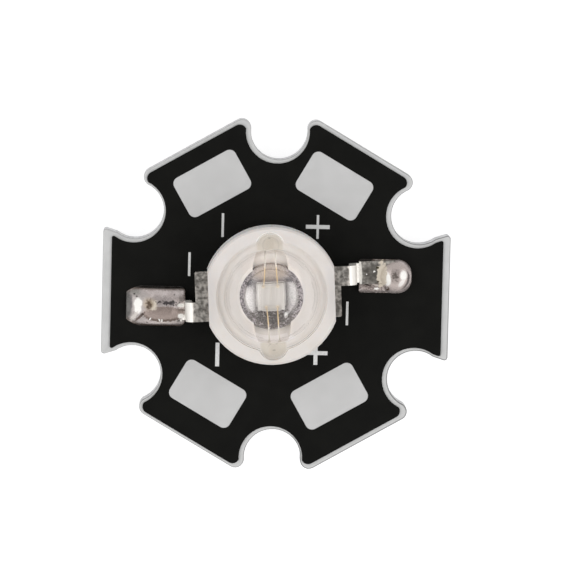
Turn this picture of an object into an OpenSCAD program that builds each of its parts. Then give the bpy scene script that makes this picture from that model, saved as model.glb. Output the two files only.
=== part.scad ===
// High power LED emitter soldered on a six-lobed aluminium core circuit board.
// The origin is the centre of the board's back. Z points to the light side.
// The minus side is at -X and the plus side is at +X.

/* [Board layers] */
// Thickness of the aluminium core
base_t = 1.4; // [0.8:0.1:3]
// Thickness of the insulating layer on the core
dielectric_t = 0.1; // [0.05:0.01:0.2]
// Thickness of the copper tracks
copper_t = 0.07; // [0.03:0.005:0.15]
// Thickness of the black mask where it lies over the copper
mask_over_copper = 0.03; // [0.02:0.005:0.06]
// Thickness of the tin on the bare wire pads
tin_t = 0.02; // [0.01:0.005:0.05]
// Thickness of the printed marks
ink_t = 0.02; // [0.01:0.005:0.05]

/* [Board outline] */
// Width across the flats of the four wire lobes
board_flats = 19.86; // [18:0.02:24]
// Width across the flats of the two lobes that carry the leads
lead_lobe_flats = 20.14; // [18:0.02:24]
// Corner radius of the four wire lobes
wire_lobe_corner = 0.5; // [0.1:0.05:0.8]
// Corner radius of the two lead lobes
lead_lobe_corner = 0.18; // [0.05:0.01:0.5]
// Diameter of the circle on which the screw notches are centred
notch_circle = 19; // [18:0.1:21]
// Diameter of a screw notch
notch_d = 3.3; // [2.2:0.1:3.6]
// Angle at which a notch opens towards the rim
notch_flare = 12; // [4:1:20]

/* [Black mask and tracks] */
// Bare margin between the board's edge and the mask on the wire lobes
mask_margin = 0.26; // [0.2:0.01:0.5]
// Bare margin between the board's edge and the mask on the lead lobes
mask_lead_margin = 0.4; // [0.2:0.01:0.6]
// Corner radius of the mask on its wire lobes
mask_corner = 0.4; // [0.1:0.05:0.8]
// Corner radius of the mask on its lead lobes
mask_lead_corner = 0.1; // [0.05:0.01:0.5]
// Bare ring between a notch and the mask
mask_notch_margin = 0.2; // [0.18:0.02:0.5]
// Sideways offset of the mask's outline from the punched outline
mask_x = -0.1; // [-0.15:0.01:0.15]
// Offset of the mask's outline towards +Y
mask_y = -0.02; // [-0.15:0.01:0.15]
// Distance from the board's edge to the copper
copper_margin = 0.65; // [0.5:0.05:1]
// Gap between two areas of copper
copper_gap = 0.45; // [0.2:0.05:0.8]
// Sideways offset of the tracks and pads from the punched outline
artwork_x = -0.29; // [-0.4:0.01:0.4]
// Offset of the tracks and pads towards +Y
artwork_y = 0.28; // [-0.4:0.01:0.4]
// Sideways offset of the emitter and its pads from the punched outline
emitter_x = -0.32; // [-0.4:0.01:0.4]
// Offset of the emitter and its pads towards +Y
emitter_y = 0.24; // [-0.4:0.01:0.4]

/* [Pads and marks] */
// Length of a wire pad, along its lobe's flat
wire_pad_l = 4.05; // [2:0.05:4.4]
// Width of a wire pad
wire_pad_w = 2.56; // [1:0.02:2.8]
// Corner radius of a wire pad
wire_pad_corner = 0.4; // [0.1:0.05:0.6]
// Distance from a lobe's flat to its wire pad
wire_pad_inset = 1.58; // [1.2:0.01:2]
// Length of a pad for a lead
lead_pad_l = 3.05; // [2.6:0.05:3.8]
// Width of a pad for a lead
lead_pad_w = 1.95; // [1.8:0.05:2.8]
// Corner radius of a pad for a lead
lead_pad_corner = 0.15; // [0.1:0.05:0.5]
// Corner radius of the plus lead's pad at its outer end
plus_pad_corner = 0.8; // [0.5:0.05:0.9]
// How far a lead's pad lies outside the middle of the lead's strip
lead_pad_aside = 0.11; // [0:0.005:0.15]
// How far the copper under the slug reaches past its foot
thermal_pad_margin = 0.1; // [0.05:0.05:0.4]
// Length of a printed stroke
mark_l = 1.38; // [0.8:0.02:1.6]
// Width of a fine printed stroke
mark_fine_w = 0.14; // [0.1:0.01:0.3]
// Width of a bold printed stroke
mark_bold_w = 0.23; // [0.1:0.01:0.3]

/* [Emitter body] */
// Diameter of the round housing
body_d = 7.92; // [7.6:0.02:9]
// Width of the housing across its two flats
body_flats = 7.25; // [6.8:0.05:7.5]
// How far the housing steps in below the leads
skirt_inset = 0.35; // [0.1:0.05:0.5]
// Height of the housing's top above its seat
body_top = 3.2; // [3:0.05:3.6]
// Height of the step between the housing's two diameters
body_step = 1.25; // [0.8:0.05:1.5]
// Gap between the housing and the board
body_lift = 0.2; // [0.1:0.05:0.4]
// Chamfer round the housing's top
body_chamfer = 0.12; // [0.05:0.01:0.2]
// Turn of the emitter on the board, in degrees
emitter_turn = 3.35; // [-5:0.05:5]
// Thickness of the bonding layer under the emitter
adhesive_t = 0.05; // [0.03:0.01:0.1]

/* [Heat slug] */
// Diameter of the slug's foot
slug_foot_d = 5.8; // [5:0.1:6.2]
// Height of the slug's foot
slug_foot_h = 0.7; // [0.4:0.05:0.9]
// Diameter of the groove that locks the slug in the housing
slug_neck_d = 4.6; // [3.6:0.1:4.8]
// Height of the groove
slug_neck_h = 0.3; // [0.2:0.05:0.4]
// Diameter of the collar above the groove
slug_collar_d = 5.2; // [5:0.1:6]
// Height of the collar
slug_collar_h = 0.3; // [0.2:0.05:0.3]
// Diameter of the cup at its rim
cup_d = 2; // [1.9:0.05:2.4]
// Wall of the pillar round the cup
cup_wall = 0.15; // [0.1:0.05:0.3]
// Depth of the cup
cup_depth = 0.45; // [0.3:0.05:0.6]
// Height of the cup's rim above the leads
cup_rise = 0.2; // [0.1:0.05:0.4]
// Bare floor between the glue's corners and the cup's wall
cup_floor_margin = 0.02; // [0.01:0.01:0.06]
// How far the slug sits from the middle of the housing, towards +Y
slug_y = -0.06; // [-0.1:0.01:0.1]

/* [Leads] */
// Distance between the tips of the two leads
lead_span = 14.5; // [13.8:0.1:15.2]
// Thickness of the lead metal
lead_t = 0.4; // [0.25:0.01:0.45]
// Height of the leads' underside where they leave the housing
lead_rise = 1.6; // [1.55:0.05:1.75]
// Length of the bar along the housing's flat
bar_l = 2.9; // [2.4:0.05:3.4]
// How far the minus lead's bar stands out of the housing
minus_bar_proud = 0.74; // [0.3:0.01:0.85]
// How far the plus lead's bar stands out of the housing
plus_bar_proud = 0.4; // [0.3:0.01:0.85]
// Corner radius of a bar
bar_corner = 0.12; // [0.05:0.01:0.2]
// Width of the strip that goes down to the pad
strip_w = 1.12; // [0.8:0.02:1.3]
// Width of the lead's foot
foot_w = 1.3; // [0.8:0.05:1.5]
// Height of the foot's underside above the emitter's seat
foot_lift = 0.03; // [0.02:0.01:0.1]
// Flat length between the minus lead's bar and the bend
bend_gap = 0.01; // [0.01:0.01:0.4]
// Inner radius of the two bends
bend_r = 0.2; // [0.1:0.05:0.3]
// Width of the neck that carries a lead into the housing
neck_w = 1.8; // [1:0.1:2]
// Gap between the cup's pillar and the arms of the leads
arm_gap = 0.27; // [0.15:0.01:0.4]
// Width of an arm
arm_w = 0.68; // [0.4:0.02:0.8]
// Angle from a lead's axis to the far end of its arm
arm_reach = 110; // [100:1:118]
// Angle from a lead's axis to the near end of its arm
arm_heel = 30; // [20:1:40]

/* [Lens] */
// Radius of the dome
dome_r = 2.8; // [2.6:0.05:3]
// Height of the dome above the housing
dome_h = 2.3; // [2:0.05:2.7]
// Wall of the dome, at its top
dome_wall = 0.7; // [0.5:0.05:1]
// Width of the lens flange round the dome
flange_w = 0.35; // [0.2:0.05:0.5]
// Thickness of the lens flange
flange_t = 0.4; // [0.3:0.05:0.5]
// Depth of the housing's seat for the flange
seat_depth = 0.3; // [0.2:0.05:0.4]
// Gap round the flange and its ears in their seat
seat_gap = 0.05; // [0.03:0.01:0.1]
// Wall of the housing outside an ear's seat
ear_wall = 0.27; // [0.15:0.01:0.4]
// Diameter of an ear
ear_d = 1.64; // [1.4:0.02:1.8]
// Diameter of the filling hole in an ear
ear_hole_d = 0.68; // [0.3:0.02:0.8]
// Wall of an ear outside its filling hole
ear_hole_wall = 0.24; // [0.16:0.02:0.3]
// Width of the housing's ledge under the flange
flange_ledge = 0.7; // [0.4:0.05:1]
// Ledge between the slug's pillar and the white reflector
reflector_ledge = 0.1; // [0.05:0.01:0.2]

/* [Die and wires] */
// Side of the square die
die_w = 0.9; // [0.8:0.01:0.98]
// How far the die sits from the middle of the cup, towards +Y
die_y = -0.06; // [-0.15:0.01:0.15]
// Thickness of the die
die_t = 0.15; // [0.1:0.01:0.2]
// Thickness of the silver glue under the die
attach_t = 0.02; // [0.01:0.005:0.04]
// How far the glue shows beside the die
attach_margin = 0.03; // [0.02:0.01:0.06]
// Thickness of the die's metal contacts
contact_t = 0.01; // [0.005:0.001:0.02]
// Diameter of a round contact on the die
contact_d = 0.14; // [0.12:0.01:0.18]
// Distance of the round contacts from the die's edge
contact_inset = 0.1; // [0.095:0.005:0.12]
// Width of a contact finger on the die
finger_w = 0.03; // [0.02:0.005:0.04]
// Diameter of a gold wire
wire_d = 0.05; // [0.03:0.005:0.06]
// Diameter of the bonds at a wire's ends
bond_d = 0.11; // [0.08:0.005:0.12]
// Thickness of the bonds at a wire's ends
bond_t = 0.03; // [0.02:0.005:0.05]
// Distance of the outer bonds from the arm's inner edge
bond_inset = 0.23; // [0.1:0.01:0.4]
// Rise of a wire above its two ends
wire_rise = 0.36; // [0.34:0.01:0.5]
// Width of the window over the outer bonds
window_w = 1.3; // [0.9:0.05:1.5]

/* [Solder] */
// How far a lead's pad reaches past the lead's tip
pad_past_tip = 0.9; // [0.7:0.05:1.2]
// Height of the minus joint above its pad
loaf_h = 0.95; // [0.7:0.05:1.2]
// Height of the minus joint at the middle of its long sides
loaf_side_h = 0.3; // [0.1:0.05:0.4]
// Height of the minus joint at the middle of its outer end
loaf_end_h = 0.35; // [0.1:0.05:0.5]
// How far the minus joint's top lies inwards from the middle of its pad
loaf_inset = 0.25; // [0:0.05:0.4]
// How far the minus joint bulges over the mask round its pad
loaf_bulge = 0.18; // [0.05:0.01:0.25]
// Height of the plus joint's knob above its pad
knob_h = 0.95; // [0.75:0.05:1.1]
// Length of the knob, from the outer end of the pad
knob_l = 1.9; // [1.8:0.05:2]
// Distance from the outer end of the pad to the top of the knob
knob_inset = 0.9; // [0.8:0.02:1]
// Radius of the knob's back along the lead
knob_along_r = 1.14; // [1.12:0.02:1.4]
// Radius of the knob's back across the lead
knob_across_r = 1.1; // [1:0.02:1.1]
// Radius of the fillet beside the plus lead's foot
side_fillet_r = 0.42; // [0.3:0.01:0.5]
// Height of the solder skin on the rest of a lead's pad
skin_h = 0.1; // [0.06:0.01:0.2]

/* [Hidden] */

// Facets of a full circle on large and on small round forms
$fn = 96;
small_fn = 32;
// Steps of a rounded outline corner
corner_steps = 6;
// Overshoot of a cut past the surface that it opens
cut = 1;
// Overlap of two forms that make one piece
join = 0.05;

// Heights of the board's layers
dielectric_z = base_t;
copper_z = dielectric_z + dielectric_t;
pad_z = copper_z + copper_t;
mask_t = copper_t + mask_over_copper;
board_top = copper_z + mask_t;
// Height of the emitter's seat
seat_z = pad_z + adhesive_t;

lobes = 6;
lobe_angle = 360 / lobes;
notch_r = notch_d / 2;
// The straight flanks of a notch start just inside its round floor
flank_inset = 0.05;

// Angles of the four wire pads
plus_upper_a = lobe_angle;
minus_upper_a = 2 * lobe_angle;
minus_lower_a = 4 * lobe_angle;
plus_lower_a = 5 * lobe_angle;

// Marks are [angle of the wire pad, x and y from its middle, stroke width]
wire_minus_marks = [[minus_upper_a, 0.66, -2.4, mark_fine_w],
                    [minus_lower_a, 0.51, 2.31, mark_bold_w]];
wire_plus_marks = [[plus_upper_a, -0.91, -2.39, mark_fine_w],
                   [plus_lower_a, -0.86, 2.51, mark_bold_w]];
// Marks are [side of the lead's pad, x and y from its middle, stroke width]
lead_marks = [[-1, 1.865, 2.415, mark_fine_w], [1, -2.175, -2.265, mark_fine_w]];
// How much further the mask is set back at each lobe, counted from +X
mask_setbacks = [-0.08, -0.09, -0.03, 0.21, -0.03, 0];

thermal_pad_r = slug_foot_d / 2 + thermal_pad_margin;
wire_pad_reach = board_flats / 2 - wire_pad_inset - wire_pad_w / 2;

// Heights inside the emitter, above its seat
lead_top = lead_rise + lead_t;
seat_floor = body_top - seat_depth;
cup_rim = lead_top + cup_rise;
cup_floor = cup_rim - cup_depth;
die_floor = cup_floor + attach_t;
die_top = die_floor + die_t;
dome_top = body_top + dome_h;
dome_mid = dome_top - dome_r;

slug_waist_h = slug_foot_h + slug_neck_h + slug_collar_h;
slug_pillar_d = cup_d + 2 * cup_wall;
glue_w = die_w + 2 * attach_margin;
cup_floor_d = 2 * norm([glue_w / 2, glue_w / 2 + abs(die_y)]) + 2 * cup_floor_margin;
arm_inner_r = slug_pillar_d / 2 + arm_gap;
arm_outer_r = arm_inner_r + arm_w;
bond_reach = arm_inner_r + bond_inset;
flange_d = 2 * (dome_r + flange_w);
reflector_d = flange_d + 2 * seat_gap - 2 * flange_ledge;
reflector_foot_r = slug_pillar_d / 2 + reflector_ledge;
ear_reach = (body_d - ear_d) / 2 - seat_gap - ear_wall;
ear_hole_reach = ear_reach + (ear_d - ear_hole_d) / 2 - ear_hole_wall;

// Ball whose lower part is the cup: it passes through the rim and the floor's edge
cup_ball_rise = ((cup_d / 2) ^ 2 - (cup_floor_d / 2) ^ 2 + cup_depth ^ 2) / (2 * cup_depth)
                - cup_depth;
cup_ball_r = sqrt((cup_d / 2) ^ 2 + cup_ball_rise ^ 2);

// The strip sits at one end of the bar, so the two leads are turned copies
strip_y = (bar_l - strip_w) / 2;
bend_start = body_flats / 2 + max(minus_bar_proud, plus_bar_proud) + bend_gap;
bend_x = bend_start + bend_r + lead_t;
foot_in = bend_x + bend_r;
tip_x = lead_span / 2;
lead_pad_x = tip_x + pad_past_tip - lead_pad_l / 2;
lead_pad_y = strip_y + lead_pad_aside;

// Wires are [x on the die, x on the outer bond, side in Y]
wires = [[-0.25, -0.17, 1], [0.24, 0.2, 1], [-0.17, -0.12, -1], [0.2, 0.24, -1]];
die_mid_y = slug_y + die_y;
contact_y = die_w / 2 - contact_inset;
contact_top = die_top + contact_t;

aluminium_colour = [0.72, 0.73, 0.74];
dielectric_colour = [0.82, 0.82, 0.81];
copper_colour = [0.8, 0.5, 0.3];
mask_colour = [0.1, 0.1, 0.09];
tin_colour = [0.77, 0.77, 0.77];
ink_colour = [0.8, 0.8, 0.8];
housing_colour = [0.9, 0.88, 0.86];
gold_colour = [0.85, 0.7, 0.4];

// Points of one rounded lobe corner, in the frame of the notch beside it, which opens
// along +Y. The lobe's flat faces 60 degrees from +X.
function lobe_corner(flat_r, corner_r, centre_r, half_w) =
    let (off = corner_r + half_w * cos(notch_flare) - centre_r * sin(notch_flare),
         span = cos(lobe_angle / 2 - notch_flare),
         mid_x = ((flat_r - corner_r) * sin(notch_flare) + cos(lobe_angle / 2) * off) / span,
         mid_y = ((flat_r - corner_r) * cos(notch_flare) - sin(lobe_angle / 2) * off) / span,
         sweep = 180 - notch_flare - lobe_angle)
    [for (i = [0:corner_steps])
        let (a = lobe_angle + sweep * i / corner_steps)
        [mid_x + corner_r * cos(a), mid_y + corner_r * sin(a)]];

function mirrored(points) = [for (i = [len(points) - 1:-1:0]) [-points[i][0], points[i][1]]];

function turned(points, a) =
    [for (p = points) [p[0] * cos(a) - p[1] * sin(a), p[0] * sin(a) + p[1] * cos(a)]];

// One value for each lobe, counted from +X
function per_lobe(wire_value, lead_value) =
    [for (i = [0:lobes - 1]) i % 3 == 0 ? lead_value : wire_value];

// Outline of one notch with the lobe corners on its two sides
function notch_outline(i, flat_rs, corner_rs, centre_r, half_w) =
    let (next = (i + 1) % lobes,
         right = lobe_corner(flat_rs[i], corner_rs[i], centre_r, half_w),
         left = lobe_corner(flat_rs[next], corner_rs[next], centre_r, half_w),
         points = concat(right, [[half_w, centre_r], [-half_w, centre_r]], mirrored(left)))
    turned(points, (i + 0.5) * lobe_angle - 90);

// Six lobes between six round notches
module star(flat_rs, corner_rs, round_r) {
    centre_r = notch_circle / 2;
    difference() {
        polygon([for (i = [0:lobes - 1])
            each notch_outline(i, flat_rs, corner_rs, centre_r, round_r - flank_inset)]);
        for (i = [0:lobes - 1])
            rotate((i + 0.5) * lobe_angle) translate([centre_r, 0]) circle(round_r);
    }
}

module board_outline() {
    star(per_lobe(board_flats / 2, lead_lobe_flats / 2),
         per_lobe(wire_lobe_corner, lead_lobe_corner), notch_r);
}

module mask_outline() {
    translate([mask_x, mask_y])
        star(per_lobe(board_flats / 2 - mask_margin, lead_lobe_flats / 2 - mask_lead_margin)
             - mask_setbacks, per_lobe(mask_corner, mask_lead_corner),
             notch_r + mask_notch_margin);
}

module copper_outline() {
    flat_r = board_flats / 2 - copper_margin;
    star(per_lobe(flat_r, flat_r), per_lobe(wire_lobe_corner, wire_lobe_corner),
         notch_r + copper_margin);
}

module rounded_rectangle(l, w, r) {
    translate([-l / 2 + r, -w / 2]) square([l - 2 * r, w]);
    translate([-l / 2, -w / 2 + r]) square([l, w - 2 * r]);
    for (x = [-1, 1], y = [-1, 1])
        translate([x * (l / 2 - r), y * (w / 2 - r)]) circle(r, $fn = small_fn);
}

// The tracks, the wire pads and the marks share one offset from the punched outline
module artwork() {
    translate([artwork_x, artwork_y]) children();
}

// The emitter and all that lies under it share another
module under_emitter() {
    translate([emitter_x, emitter_y]) children();
}

module wire_pad_outline(a) {
    artwork() rotate(a) translate([wire_pad_reach, 0])
        rounded_rectangle(wire_pad_w, wire_pad_l, wire_pad_corner);
}

// The side is 1 for plus and -1 for minus
module at_lead_pad(side, z) {
    translate([emitter_x + side * lead_pad_x, emitter_y + side * lead_pad_y, z]) children();
}

// Outline of a lead's pad, grown by an equal margin all round
module lead_pad_outline(side, margin) {
    l = lead_pad_l + 2 * margin;
    w = lead_pad_w + 2 * margin;
    outer_r = (side > 0 ? plus_pad_corner : lead_pad_corner) + margin;
    intersection() {
        rounded_rectangle(l, w, lead_pad_corner + margin);
        translate([-side * l / 2, 0]) rounded_rectangle(2 * l, w, outer_r);
    }
}

module thermal_pad_outline() {
    under_emitter() circle(thermal_pad_r);
}

module track_outline(side) {
    half = board_flats;
    difference() {
        intersection() {
            copper_outline();
            artwork() translate([side > 0 ? copper_gap / 2 : -half - copper_gap / 2, -half])
                square([half, 2 * half]);
        }
        under_emitter() circle(thermal_pad_r + copper_gap);
    }
}

module aluminium_base() {
    color(aluminium_colour) linear_extrude(base_t) board_outline();
}

module dielectric_layer() {
    color(dielectric_colour) translate([0, 0, dielectric_z])
        linear_extrude(dielectric_t) board_outline();
}

module copper_track(side) {
    color(copper_colour) translate([0, 0, copper_z]) linear_extrude(copper_t)
        track_outline(side);
}

module thermal_pad() {
    color(copper_colour) translate([0, 0, copper_z]) linear_extrude(copper_t)
        thermal_pad_outline();
}

// The mask fills the gaps in the copper and has a window over each pad
module solder_mask() {
    color(mask_colour) translate([0, 0, copper_z]) difference() {
        linear_extrude(mask_t) mask_outline();
        translate([0, 0, -cut]) linear_extrude(copper_t + cut) {
            track_outline(1);
            track_outline(-1);
            thermal_pad_outline();
        }
        translate([0, 0, copper_t / 2]) linear_extrude(mask_t) {
            for (a = [plus_upper_a, minus_upper_a, minus_lower_a, plus_lower_a])
                wire_pad_outline(a);
            for (side = [-1, 1]) at_lead_pad(side, 0) lead_pad_outline(side, 0);
            adhesive_outline();
        }
    }
}

module wire_pad(a) {
    color(tin_colour) translate([0, 0, pad_z]) linear_extrude(tin_t) wire_pad_outline(a);
}

module stroke(w) {
    square([w, mark_l], center = true);
}

// Puts a mark beside the wire pad that its entry names
module beside_wire_pad(m) {
    translate([wire_pad_reach * cos(m[0]) + m[1], wire_pad_reach * sin(m[0]) + m[2]])
        children();
}

module minus_marks() {
    color(ink_colour) translate([0, 0, board_top]) linear_extrude(ink_t) artwork() {
        for (m = wire_minus_marks) beside_wire_pad(m) stroke(m[3]);
        for (m = lead_marks)
            translate([m[0] * lead_pad_x + m[1], m[0] * lead_pad_y + m[2]]) stroke(m[3]);
    }
}

module plus_marks() {
    color(ink_colour) translate([0, 0, board_top]) linear_extrude(ink_t) artwork()
        for (m = wire_plus_marks) beside_wire_pad(m) {
            stroke(m[3]);
            rotate(90) stroke(mark_bold_w);
        }
}

module adhesive_outline() {
    under_emitter() rotate(emitter_turn) translate([0, slug_y]) circle(d = slug_foot_d);
}

module thermal_adhesive() {
    color([0.85, 0.85, 0.85]) translate([0, 0, pad_z]) linear_extrude(adhesive_t)
        adhesive_outline();
}

// Puts a part of the emitter on the board
module on_board() {
    translate([emitter_x, emitter_y, seat_z]) rotate(emitter_turn) children();
}

// Space of the cup from its floor up
module cup_space(h) {
    translate([0, slug_y, 0]) intersection() {
        translate([0, 0, cup_rim + cup_ball_rise]) sphere(cup_ball_r);
        translate([0, 0, cup_floor]) cylinder(h = h, d = 2 * cup_d);
    }
}

// Turned slug with a foot, a locking groove, a collar and the cup's pillar
module slug_solid() {
    translate([0, slug_y, 0]) rotate_extrude() polygon([
        [0, 0], [slug_foot_d / 2, 0], [slug_foot_d / 2, slug_foot_h],
        [slug_neck_d / 2, slug_foot_h], [slug_neck_d / 2, slug_foot_h + slug_neck_h],
        [slug_collar_d / 2, slug_foot_h + slug_neck_h], [slug_collar_d / 2, slug_waist_h],
        [slug_pillar_d / 2, slug_waist_h], [slug_pillar_d / 2, cup_rim], [0, cup_rim]]);
}

module heat_slug() {
    color(tin_colour) on_board() difference() {
        slug_solid();
        cup_space(cup_depth + cut);
    }
}

// White reflector between the cup and the lens
module reflector_space() {
    translate([0, 0, cup_rim])
        cylinder(h = seat_floor - cup_rim, r1 = reflector_foot_r, d2 = reflector_d);
}

// Windows in the reflector, on two sides of the slug, down to the arms of the leads
module window_space() {
    difference() {
        translate([-window_w / 2, -arm_outer_r, lead_top])
            cube([window_w, 2 * arm_outer_r, seat_floor - lead_top]);
        slug_solid();
    }
}

module flats(w) {
    translate([-w / 2, -body_d, 0]) cube([w, 2 * body_d, body_top]);
}

module lens_seat() {
    translate([0, 0, seat_floor]) {
        cylinder(h = seat_depth + cut, d = flange_d + 2 * seat_gap);
        for (side = [-1, 1]) translate([0, side * ear_reach, 0])
            cylinder(h = seat_depth + cut, d = ear_d + 2 * seat_gap);
    }
}

// Round part of the housing above its step, with the chamfer round its top
module body_round() {
    rotate_extrude() polygon([
        [0, body_step], [body_d / 2, body_step], [body_d / 2, body_top - body_chamfer],
        [body_d / 2 - body_chamfer, body_top], [0, body_top]]);
}

module housing() {
    color(housing_colour) on_board() difference() {
        union() {
            intersection() {
                flats(body_flats);
                body_round();
            }
            intersection() {
                flats(body_flats - 2 * skirt_inset);
                translate([0, 0, body_lift])
                    cylinder(h = body_step - body_lift + join, d = body_d - 2 * skirt_inset);
            }
        }
        slug_solid();
        reflector_space();
        window_space();
        lens_seat();
        lead_plate(1);
        lead_plate(-1);
    }
}

// Ring sector that follows the slug inside the housing
module arm_outline() {
    far = 2 * arm_outer_r;
    intersection() {
        difference() {
            circle(arm_outer_r);
            circle(arm_inner_r);
        }
        polygon([[0, 0], far * [cos(-arm_heel), sin(-arm_heel)], [far, 0], [far, far],
                 [0, far], far * [cos(arm_reach), sin(arm_reach)]]);
    }
}

// Flat part of the plus lead: the arm, the neck and the bar
module plate_outline(proud) {
    bar_in = body_flats / 2 - 2 * bar_corner;
    bar_out = body_flats / 2 + proud;
    neck_in = (arm_inner_r + arm_outer_r) / 2;
    difference() {
        union() {
            arm_outline();
            translate([neck_in, -neck_w / 2]) square([bar_in - neck_in + bar_corner, neck_w]);
        }
        circle(arm_inner_r);
    }
    translate([(bar_in + bar_out) / 2, 0])
        rounded_rectangle(bar_out - bar_in, bar_l, bar_corner);
}

// The minus lead is the same form turned half a turn, with a wider bar
module lead_plate(side) {
    rotate(side > 0 ? 0 : 180) translate([0, 0, lead_rise]) linear_extrude(lead_t)
        plate_outline(side > 0 ? plus_bar_proud : minus_bar_proud);
}

// Side view of a quarter bend, from its centre
module bend_outline(a) {
    outer = bend_r + lead_t;
    rotate(a) intersection() {
        difference() {
            circle(outer);
            circle(bend_r);
        }
        square(outer);
    }
}

// Side view of the strip: out of the bar, round the bend, down and along to the tip
module strip_outline() {
    strip_in = body_flats / 2;
    upper_mid = lead_rise - bend_r;
    lower_mid = foot_lift + lead_t + bend_r;
    translate([strip_in, lead_rise]) square([bend_start - strip_in, lead_t]);
    translate([bend_start, upper_mid]) bend_outline(0);
    translate([bend_x - lead_t, lower_mid]) square([lead_t, upper_mid - lower_mid]);
    translate([foot_in, lower_mid]) bend_outline(180);
    translate([foot_in, foot_lift]) square([tip_x - foot_in, lead_t]);
}

module foot_outline() {
    translate([foot_in, -foot_w / 2]) square([tip_x - foot_in, foot_w]);
}

module lead(side) {
    on_board() {
        lead_plate(side);
        rotate(side > 0 ? 0 : 180) translate([0, strip_y, 0]) {
            translate([0, strip_w / 2, 0]) rotate([90, 0, 0])
                linear_extrude(strip_w) strip_outline();
            translate([0, 0, foot_lift]) linear_extrude(lead_t) foot_outline();
        }
    }
}

module die_block(w, z, t) {
    translate([-w / 2, die_mid_y - w / 2, z]) cube([w, w, t]);
}

module die_attach() {
    color(tin_colour) on_board() die_block(glue_w, cup_floor, attach_t);
}

module led_die() {
    color([0.8, 0.83, 0.85]) on_board() die_block(die_w, die_floor, die_t);
}

// Four round contacts joined in pairs, and a finger across the middle of the die
module contacts_solid() {
    finger_l = die_w / 2;
    translate([0, die_mid_y, die_top]) linear_extrude(contact_t) {
        for (w = wires) translate([w[0], w[2] * contact_y])
            circle(d = contact_d, $fn = small_fn);
        for (side = [0, 2]) {
            x0 = wires[side][0];
            x1 = wires[side + 1][0];
            translate([x0, wires[side][2] * contact_y - finger_w / 2])
                square([x1 - x0, finger_w]);
        }
        translate([-finger_w / 2, contact_y - finger_l]) square([finger_w, finger_l]);
    }
}

module die_contacts() {
    color(gold_colour) on_board() contacts_solid();
}

// An arch of wire between a bond on the die and a bond on the lead's arm
module wire_solid(w) {
    start_y = die_mid_y + w[2] * contact_y;
    end_y = w[2] * bond_reach;
    foot_a = contact_top + bond_t / 2;
    foot_b = lead_top + bond_t / 2;
    dx = w[1] - w[0];
    dy = end_y - start_y;
    run = norm([dx, dy, foot_b - foot_a]);
    arch_r = (run * run / 4 + wire_rise * wire_rise) / (2 * wire_rise);
    half = asin(run / 2 / arch_r);
    flat_run = norm([dx, dy]);
    tilt = atan2(foot_b - foot_a, flat_run);
    translate([w[0], start_y, contact_top])
        cylinder(h = bond_t, d = bond_d, $fn = small_fn);
    translate([w[1], end_y, lead_top])
        cylinder(h = bond_t, d = bond_d, $fn = small_fn);
    translate([w[0], start_y, foot_a])
        rotate(atan2(dy, dx)) rotate([90, -tilt, 0])
            translate([run / 2, wire_rise - arch_r, 0]) rotate(90 - half)
                rotate_extrude(angle = 2 * half)
                    translate([arch_r, 0]) circle(d = wire_d, $fn = small_fn);
}

module bond_wire(i) {
    color(gold_colour) on_board() wire_solid(wires[i]);
}

// Inside of the dome
module dome_space() {
    intersection() {
        translate([0, 0, dome_mid]) sphere(dome_r - dome_wall);
        translate([0, 0, seat_floor - join]) cylinder(h = dome_top, r = dome_r);
    }
}

// Clear gel fills the cup, the reflector, its windows and the dome
module silicone_gel() {
    color([0.9, 0.9, 0.9, 0.4]) on_board() difference() {
        union() {
            cup_space(cup_depth + join);
            reflector_space();
            window_space();
            dome_space();
        }
        die_block(glue_w, cup_floor - cut, cut + attach_t);
        die_block(die_w, cup_floor, attach_t + die_t);
        contacts_solid();
        for (w = wires) wire_solid(w);
    }
}

// Clear dome with a flange and two ears that have filling holes
module lens() {
    color([0.9, 0.92, 0.92, 0.5]) on_board() difference() {
        union() {
            intersection() {
                translate([0, 0, dome_mid]) sphere(dome_r);
                translate([0, 0, seat_floor]) cylinder(h = dome_top, r = 2 * dome_r);
            }
            translate([0, 0, seat_floor]) {
                cylinder(h = flange_t, d = flange_d);
                for (side = [-1, 1]) translate([0, side * ear_reach, 0])
                    cylinder(h = flange_t, d = ear_d);
            }
        }
        translate([0, 0, dome_mid]) sphere(dome_r - dome_wall);
        for (side = [-1, 1]) translate([0, side * ear_hole_reach, seat_floor - cut])
            cylinder(h = flange_t + 2 * cut, d = ear_hole_d, $fn = small_fn);
    }
}

// Radius of a round back that drops from its top by drop at half_l from it
function back_r(half_l, drop) = (half_l * half_l + drop * drop) / (2 * drop);

// Back that is round both ways and flatter along than across, with its top at h
module crown(along_r, across_r, h) {
    translate([0, 0, h - along_r]) rotate([90, 0, 0]) rotate_extrude() intersection() {
        translate([along_r - across_r, 0]) circle(across_r);
        translate([0, -across_r]) square([along_r, 2 * across_r]);
    }
}

// Loaf of solder that covers the foot and bulges over the mask round its pad, and a skin
// on the pad's corners
module solder_joint_minus() {
    half_l = lead_pad_l / 2 + loaf_bulge;
    half_w = lead_pad_w / 2 + loaf_bulge;
    color(tin_colour) difference() {
        union() {
            intersection() {
                union() {
                    at_lead_pad(-1, pad_z) linear_extrude(loaf_h) lead_pad_outline(-1, 0);
                    at_lead_pad(-1, board_top) linear_extrude(loaf_h)
                        lead_pad_outline(-1, loaf_bulge);
                }
                at_lead_pad(-1, pad_z) translate([loaf_inset, 0, 0])
                    crown(back_r(half_l + loaf_inset, loaf_h - loaf_end_h),
                          back_r(half_w, loaf_h - loaf_side_h), loaf_h);
            }
            at_lead_pad(-1, pad_z) linear_extrude(skin_h) lead_pad_outline(-1, 0);
        }
        lead(-1);
    }
}

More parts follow.
